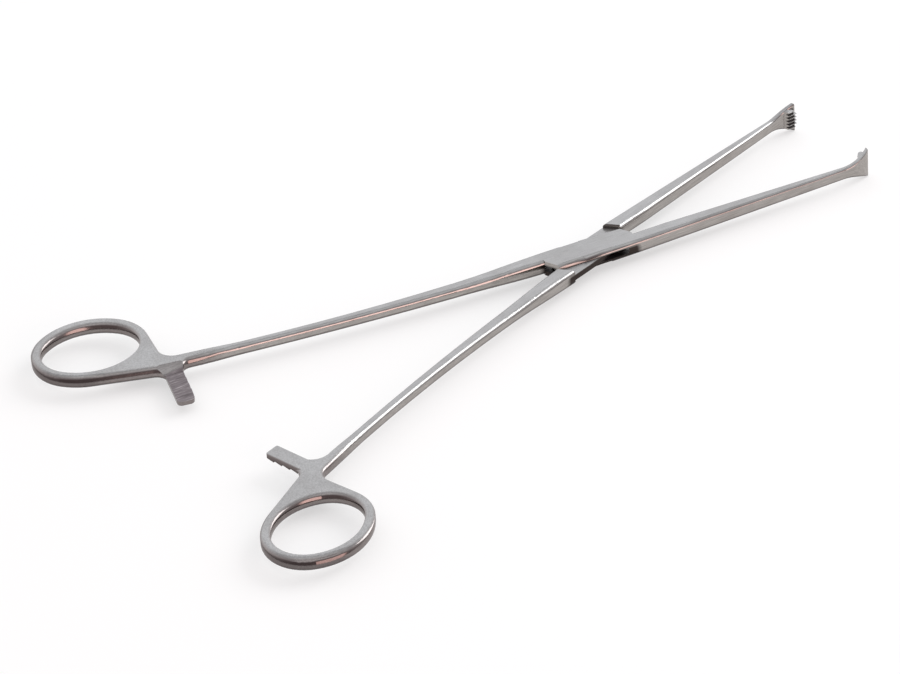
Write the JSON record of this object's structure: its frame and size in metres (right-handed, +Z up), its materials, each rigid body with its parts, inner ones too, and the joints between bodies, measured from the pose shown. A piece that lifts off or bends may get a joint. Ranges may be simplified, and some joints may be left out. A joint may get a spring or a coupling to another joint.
{
  "type": "allis tissue forceps",
  "caption": "Long ring-handled tissue forceps lying half open, with a box lock, a ratchet between the handles and flared jaws with interlocking teeth.",
  "frame": {"origin": "on the flat underside of the box lock, on the pivot axis", "axes": "+X runs along the centre line from the lock to the jaws, +Y to the box arm's finger ring, +Z up along the pivot axis"},
  "size_m": [0.2453, 0.1394, 0.0094],
  "materials": {
    "arm_steel": "satin ground flats with polished rounded edges",
    "pin_steel": "satin, ground flush with the lock"
  },
  "bodies": {
    "box_half": {"box_arm": "arm_steel", "pivot_pin": "pin_steel"},
    "through_half": {"through_arm": "arm_steel"}
  },
  "joints": [
    {"name": "pivot", "type": "hinge", "parent": "box_half", "child": "through_half", "pos_m": [0, 0, 0.0024], "axis": [0, 0, 1], "range_deg": [-19.32, 40.68]}
  ]
}
